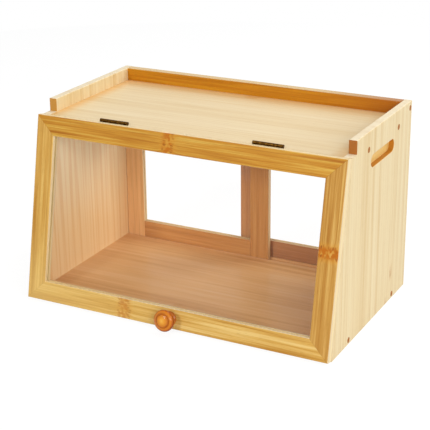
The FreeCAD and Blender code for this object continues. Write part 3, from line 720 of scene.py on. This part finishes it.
def painted_bounce_lower_left(tree):
    """The lower left of the door, which gets painted light, as bounced up from the floor."""
    left = add(tree, "MapRange", {"Value": along(tree, RIGHT), "From Min": 0.0,
                                  "From Max": -half_width}, **SOFT)
    low = add(tree, "MapRange", {"Value": along(tree, UP_SLOPE), "From Min": door_middle,
                                 "From Max": door_low}, **SOFT)
    return add(tree, "Math", {0: left, 1: low}, operation="MULTIPLY")


# paler edges are a painted highlight, the groove round the pane painted light, the lower left bounce
# light
for member, tones in GOLDEN.items():
    node = "door_" + member
    upright = "stile" in member
    grain, across = (UP_SLOPE, RIGHT) if upright else (RIGHT, UP_SLOPE)
    wear(bamboo("bamboo_in_painted_shade_" + node, grain, across, STRIP, tones, strip_contrast=0.0,
                streak_contrast=1.8, fibre_contrast=0.8, knuckle_depth=KNUCKLES[member][1],
                knuckle=(KNUCKLES[member][0], middle(node, across)), seed=len(member) * 1.7,
                stains_and_painted_light=[(painted_highlight_edges_of(OFF_SLOPE), 0.8, "#F0DDB4"), (mitre_lines, 0.3, "#7A4A14"),
                        (painted_bounce_lower_left, 0.4, "#EAC87C"),
                        (painted_light_groove_of("door_pane", OFF_SLOPE), 0.7, "#F6DFA6")]), node)

# %% [markdown]
# ## Sliding panels
# Two plain frames of bamboo are browner than the door, the outer one a little more so, and in both the
# left stile is the palest. The browner tones are painted shade, as the frames face the front behind the
# door, the outer one behind a second pane. Each member is short enough to be cut between two knuckles, so
# none shows. They could share the door's materials, but its golden tones and strong streaks would be
# wrong for them, so only the function that makes them is shared.

# %% Slider frames
# painted shade: browner tones for frames that face the front behind the door, the outer one behind two
# panes
TAN = {"inner_slider_left_stile": ("#CC9A5C", "#EEBE82", "#F6D09A"),
       "outer_slider_left_stile": ("#A26A42", "#C88E5C", "#DAA874"),
       "inner_slider": ("#A86A34", "#C88E50", "#DCAA68"),
       "outer_slider": ("#94603E", "#BA8256", "#CE9C6E")}
for panel in ("inner_slider", "outer_slider"):
    for member in ("left_stile", "right_stile", "top_rail", "bottom_rail"):
        node = panel + "_" + member
        grain, across = (UP, RIGHT) if "stile" in member else (RIGHT, UP)
        wear(bamboo("bamboo_in_painted_shade_" + node, grain, across, STRIP, TAN.get(node, TAN[panel]),
                    strip_contrast=0.0, streak_contrast=0.8, fibre_contrast=0.5, dashes=0.1,
                    knuckle=(NO_KNUCKLE, 0.0), seed=len(member) * 1.3,
                    stains_and_painted_light=[(painted_highlight_edges_of(BACK), 0.6, "#E8CFA0"),
                            (painted_light_groove_of(panel + "_pane", BACK), 0.7, "#F6DFA6")]), node)

# %% [markdown]
# ## Clear acrylic
# The panes are cast acrylic sheet, 3 mm in the door and 2 mm in the sliding panels. Acrylic has an index
# of 1.49 and mirrors 4% of what is in front of it. This room is whiter than a kitchen, so its mirror
# image would veil the inside, and the index is set lower. A glass shader would also bend the view, but a
# thin flat sheet hardly does, and it would keep lamp light out of the box. A Fresnel node that mixes a
# see-through shader with a mirror has neither fault. It is used only where a ray enters the sheet: where
# one leaves, a Fresnel node expects a bent ray, and at a flat angle it would turn the sheet opaque.

# %% Acrylic
ACRYLIC_IOR = 1.3


def acrylic(name):
    """Thin clear sheet that mirrors a little, and more at a flat angle."""
    material, tree = new_tree(name)
    mirrored = add(tree, "Fresnel", {"IOR": ACRYLIC_IOR})
    open_way = add(tree, "BsdfTransparent", {"Color": WHITE})
    mirror = add(tree, "BsdfGlossy", {"Color": WHITE, "Roughness": 0.02})
    entering = add(tree, "MixShader", {0: mirrored, 1: open_way, 2: mirror})
    leaving = add(tree, "NewGeometry", out="Backfacing")
    surface = add(tree, "MixShader", {0: leaving, 1: entering, 2: open_way})
    add(tree, "OutputMaterial", {"Surface": surface})
    return material


wear(acrylic("cast_acrylic_sheet"), "door_pane", "inner_slider_pane", "outer_slider_pane")

# %% [markdown]
# ## Knob
# The knob is turned from hardwood, stained orange and dipped in gloss lacquer. Its pale middle is a
# painted highlight on the crown, and its dark ring and dark edge are stain that gathered in the turned
# ring and round the rim, with painted shade there too. That could be three materials, but a ramp along
# the distance from the knob's axis lets them run into each other, and a little wood grain keeps the
# circles from being perfect.

# %% Knob lacquer
KNOB_GRAIN = (12 * MM, 1.2 * MM, 1.2 * MM)
KNOB_UNEVEN = 0.16        # how far the grain pushes the circles, as a share of the radius
# orange stain, with a painted highlight on the crown and painted shade in the ring and round the rim
KNOB_STAIN_SHADE_AND_HIGHLIGHT = [(0.0, "#E8AE48"), (0.25, "#DC9228"), (0.5, "#C6741A"), (0.62, "#A8580E"),
              (0.70, "#BA6A14"), (0.80, "#D07C18"), (0.93, "#B8600E"), (1.0, "#924206")]
knob_axis = Vector([middle("door_knob", axis) for axis in (RIGHT, BACK, UP)])
knob_radius = (span("door_knob", RIGHT)[1] - span("door_knob", RIGHT)[0]) / 2
knob_material, tree = new_tree("gloss_lacquered_turned_hardwood")
from_axis = [add(tree, "Math", {0: along(tree, axis), 1: knob_axis.dot(axis)}, operation="SUBTRACT")
             for axis in (RIGHT, UP_SLOPE)]
flat = add(tree, "CombineXYZ", dict(enumerate(from_axis)))
radius = add(tree, "VectorMath", {0: flat}, "Value", operation="LENGTH")
share = add(tree, "Math", {0: radius, 1: 1 / knob_radius}, operation="MULTIPLY")
grain_place = [along(tree, axis) for axis in (RIGHT, UP_SLOPE, OFF_SLOPE)]
grain = stretched_noise(tree, grain_place, KNOB_GRAIN, detail=3.0)
uneven = add(tree, "Math", {0: grain, 1: KNOB_UNEVEN, 2: -KNOB_UNEVEN / 2}, operation="MULTIPLY_ADD")
share = add(tree, "Math", {0: share, 1: uneven}, operation="ADD")
colour = add(tree, "ValToRGB", {0: share}, stops=KNOB_STAIN_SHADE_AND_HIGHLIGHT)
shader = add(tree, "BsdfPrincipled", {
    "Base Color": colour, "Roughness": 0.4, "IOR": 1.5, "Specular IOR Level": 0.1,
    "Coat Weight": 0.3, "Coat Roughness": 0.1})
add(tree, "OutputMaterial", {"Surface": shader})
wear(knob_material, "door_knob")

# %% [markdown]
# ## Plugs
# The side screws sit deep, and plugs of stained wood close their holes. A plug shows its end grain, so
# the eye sees a warm brown disc with fine pores. One flat brown would look like a sticker.

# %% Plug wood
PORE = (4 * MM, 0.7 * MM, 0.7 * MM)       # drawn coarser than the real 0.2 mm, to show
PLUG_STAIN = [(0.3, "#8A4A10"), (0.55, "#B06C20"), (0.8, "#C88638")]
plug_material, tree = new_tree("walnut_stained_end_grain")
grain_place = [along(tree, axis) for axis in (RIGHT, BACK, UP)]
pores = stretched_noise(tree, grain_place, PORE, detail=3.0)
colour = add(tree, "ValToRGB", {0: pores}, stops=PLUG_STAIN)
shader = add(tree, "BsdfPrincipled", {"Base Color": colour, "Roughness": 0.5, "IOR": 1.5,
                                      "Specular IOR Level": 0.1})
add(tree, "OutputMaterial", {"Surface": shader})
wear(plug_material, "side_plugs_left", "side_plugs_right")

# %% [markdown]
# ## Hinges and screws
# The hinges are brass that was darkened in acid and rubbed back, so they are cloudy: dark where the acid
# stayed and brassy where it was rubbed off. The screws are zinc-plated steel, slightly blue and lightly
# mottled. A scratched or brushed look would need a direction, which these finishes don't have. Both
# metals are the same few nodes with other colours and sizes, so one function makes them.

# %% Metals
ANTIQUE = [(0.3, "#3A2408"), (0.55, "#5E3F14"), (0.8, "#8A6428")]
ZINC = [(0.3, "#75787C"), (0.7, "#A3A6A9")]
CLOUD_ROUGHNESS = 0.25     # how much rougher the brightest patch is than the darkest


def mottled_metal(name, stops, roughness, blotch):
    """Metal with a cloudy finish whose blotches have a real size."""
    material, tree = new_tree(name)
    place = [along(tree, axis) for axis in (RIGHT, UP_SLOPE, OFF_SLOPE)]
    clouds = stretched_noise(tree, place, (blotch, blotch, blotch), detail=4.0)
    colour = add(tree, "ValToRGB", {0: clouds}, stops=stops)
    rough = add(tree, "Math", {0: clouds, 1: CLOUD_ROUGHNESS, 2: roughness}, operation="MULTIPLY_ADD")
    shader = add(tree, "BsdfPrincipled", {"Base Color": colour, "Metallic": 1.0, "Roughness": rough})
    add(tree, "OutputMaterial", {"Surface": shader})
    return material


brass = mottled_metal("antiqued_brass", ANTIQUE, roughness=0.3, blotch=3 * MM)
wear(brass, *[node for node in sorted(nodes) if node.startswith("hinge") and "screws" not in node])
zinc = mottled_metal("zinc_plated_steel", ZINC, roughness=0.25, blotch=1.5 * MM)
wear(zinc, *[node for node in sorted(nodes) if "screw" in node])

# %% [markdown]
# ## Cross recesses
# The screws that show when the door is up have a cross recess, but in the CAD they are plain turned
# solids. A Boolean modifier could cut the cross. Nine small heads are quicker to build ring by ring, and
# the cross comes out clean. Each screw takes its place and its sizes from the solid that it replaces, so
# nothing is typed in twice. The solids of one node are told apart by the gaps between them.

# %% Where the screws are
BETWEEN_SCREWS = 5 * MM     # a wider gap than this starts the next screw
SAME_PLACE = 0.1 * MM       # points nearer than this lie on one ring


def screw_solids(node):
    """The points of each screw in a node, from left to right."""
    places = sorted((vertex.co for vertex in nodes[node].data.vertices), key=lambda place: place.x)
    solids = [[]]
    last = places[0].x
    for place in places:
        if place.x - last > BETWEEN_SCREWS:
            solids.append([])
        solids[-1].append(place)
        last = place.x
    return solids


def screw_sizes(places):
    """Middle of a screw's head, the way the head faces, its radii and its two depths."""
    reach = [place.dot(OFF_SLOPE) for place in places]
    centre = [(min(side) + max(side)) / 2 for side in
              ([place.x for place in places], [place.dot(UP_SLOPE) for place in places])]
    ends = {}
    for end in (min(reach), max(reach)):
        ends[end] = max(abs(place.x - centre[0]) for place, depth in zip(places, reach)
                        if abs(depth - end) < SAME_PLACE)
    head, tip = sorted(ends, key=ends.get, reverse=True)
    out = OFF_SLOPE if head > tip else -OFF_SLOPE
    depths = [abs(depth - head) for depth in reach]
    head_height = min(depth for depth in depths if depth > SAME_PLACE)
    middle_of_head = RIGHT * centre[0] + UP_SLOPE * centre[1] + OFF_SLOPE * head
    return middle_of_head, out, ends[head], ends[tip], head_height, max(depths)


# %% [markdown]
# A screw is a chain of rings with the same number of corners: the bottom of the cross, its upper edge,
# the flat of the head, its worn rim, the cone, the shank and the tip. Each ring is joined to the next by
# plain four-sided faces, because the corners of the cross lie on the same rays as those of the circles.

# %% Outlines of a circle and a cross
SIDES = 32
ARM = 0.62                                      # reach of the cross, as a share of the head's radius
HALF_ARM = ARM * math.tan(math.tau / SIDES)     # so that the corners of the cross fall on the rays
NO_WIDTH = 1e-6                                 # keeps a ray along an arm from dividing by zero


def star(rays):
    """The outline of a cross, as one point on each ray."""
    outline = []
    for x, y in rays:
        wide, tall = max(abs(x), NO_WIDTH), max(abs(y), NO_WIDTH)
        reach = max(min(ARM / wide, HALF_ARM / tall), min(HALF_ARM / wide, ARM / tall))
        outline.append((x * reach, y * reach))
    return outline


CIRCLE = [(math.cos(math.tau * ray / SIDES), math.sin(math.tau * ray / SIDES)) for ray in range(SIDES)]
CROSS = star(CIRCLE)
print("outlines of", SIDES, "corners, arms of the cross %.2f radii wide" % (2 * HALF_ARM))

# %% One screw
RIM = 0.12 * MM         # worn edge of the head
RECESS_DEPTH = 0.7      # share of the head's height
RECESS_TAPER = 0.6      # size of the cross at the bottom of the recess
TIP = 0.3               # radius of the blunt tip, as a share of the shank's


def add_screw(shape, head, out, radius, shank, head_height, length):
    """Countersunk head with a cross recess, plain shank and blunt tip, as a chain of rings."""
    up = out.cross(RIGHT)
    chain = ((CROSS, RECESS_TAPER * radius, RECESS_DEPTH * head_height), (CROSS, radius, 0.0),
             (CIRCLE, radius - RIM, 0.0), (CIRCLE, radius, RIM), (CIRCLE, shank, head_height),
             (CIRCLE, shank, length - shank), (CIRCLE, TIP * shank, length))
    rings = [[shape.verts.new(head + (RIGHT * x + up * y) * size - out * depth) for x, y in outline]
             for outline, size, depth in chain]
    for one, other in zip(rings, rings[1:]):
        for corner in range(SIDES):
            shape.faces.new((one[corner - 1], one[corner], other[corner], other[corner - 1]))
    for end in (rings[0], rings[-1]):
        shape.faces.new(end)


# %% Build the screws
SCREW_BODIES = {"knob_screw": "door",
                "hinge_left_door_screws": "door", "hinge_right_door_screws": "door",
                "hinge_left_board_screws": "case", "hinge_right_board_screws": "case"}
for node, body in SCREW_BODIES.items():
    shape = bmesh.new()
    solids = screw_solids(node)
    for places in solids:
        add_screw(shape, *screw_sizes(places))
    bmesh.ops.recalc_face_normals(shape, faces=shape.faces)
    mesh = bpy.data.meshes.new(node + "_cross_recessed")
    shape.to_mesh(mesh)
    shape.free()
    mesh.materials.append(zinc)
    piece = bpy.data.objects.new(mesh.name, mesh)
    bpy.context.scene.collection.objects.link(piece)
    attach(piece, body)
    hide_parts(node)
    print(piece.name, "has", len(solids), "screws and", len(mesh.polygons), "faces")
